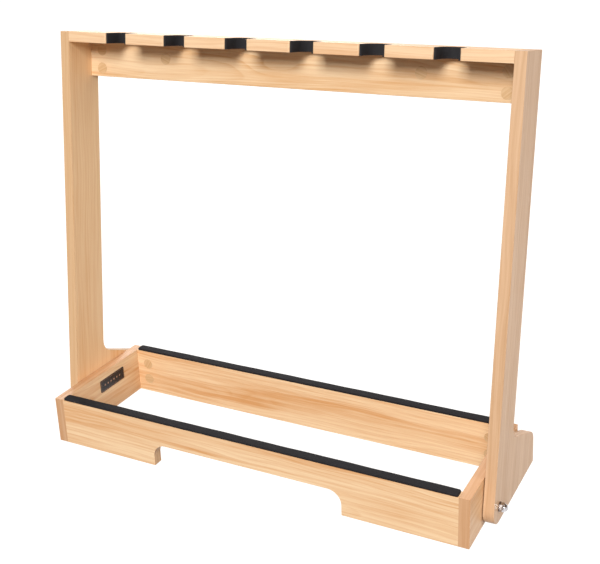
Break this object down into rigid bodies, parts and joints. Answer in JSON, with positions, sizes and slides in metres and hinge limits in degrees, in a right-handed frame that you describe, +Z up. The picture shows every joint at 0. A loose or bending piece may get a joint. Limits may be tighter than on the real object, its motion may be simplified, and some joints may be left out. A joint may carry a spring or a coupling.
{
  "type": "guitar rack",
  "caption": "Free-standing wooden guitar rack: padded floor tray for the bodies and a leaning, hinged frame whose shelf has padded neck slots.",
  "frame": {"origin": "on the floor, under the middle of the rack's width and depth", "axes": "+X to the right seen from the front, along the rack's width; +Y to the rear; +Z up"},
  "size_m": [0.8546, 0.282, 0.7272],
  "materials": {
    "wood_board": "satin light maple print with fine straight grain",
    "black_foam": "matte closed-cell foam",
    "bright_steel": "nickel plated, polished",
    "dark_washer": "black oxide",
    "nylon": "natural nylon",
    "cast_zinc": "as cast zinc",
    "zinc_steel": "zinc plated",
    "cover_cap": "wood print foil",
    "beech_dowel": "raw beech",
    "badge_face": null
  },
  "bodies": {
    "tray": {"tray_front_rail": "wood_board", "tray_rear_rail": "wood_board", "tray_left_end": "wood_board", "tray_right_end": "wood_board", "front_body_pad": "black_foam", "rear_body_pad": "black_foam", "badge": "badge_face", "front_rail_cam_locks": "cast_zinc", "front_rail_cam_bolts": "zinc_steel", "front_rail_cover_caps": "cover_cap", "front_rail_dowels": "beech_dowel", "rear_rail_cam_locks": "cast_zinc", "rear_rail_cam_bolts": "zinc_steel", "rear_rail_cover_caps": "cover_cap", "rear_rail_dowels": "beech_dowel", "left_pivot_bolt": "bright_steel", "right_pivot_bolt": "bright_steel", "left_inner_washer": "dark_washer", "right_inner_washer": "dark_washer", "left_spacer_washer": "nylon", "right_spacer_washer": "nylon", "left_outer_washer": "dark_washer", "right_outer_washer": "dark_washer", "left_dome_nut": "bright_steel", "right_dome_nut": "bright_steel"},
    "frame": {"left_side_panel": "wood_board", "right_side_panel": "wood_board", "neck_shelf": "wood_board", "apron": "wood_board", "neck_pad_1": "black_foam", "neck_pad_2": "black_foam", "neck_pad_3": "black_foam", "neck_pad_4": "black_foam", "neck_pad_5": "black_foam", "neck_pad_6": "black_foam", "apron_cam_locks": "cast_zinc", "apron_cam_bolts": "zinc_steel", "apron_cover_caps": "cover_cap", "apron_dowels": "beech_dowel", "shelf_dowels": "beech_dowel"}
  },
  "joints": [
    {"name": "frame_fold", "type": "hinge", "parent": "tray", "child": "frame", "pos_m": [0, -0.05407, 0.028], "axis": [1, 0, 0], "range_deg": [0, 97.5]}
  ]
}
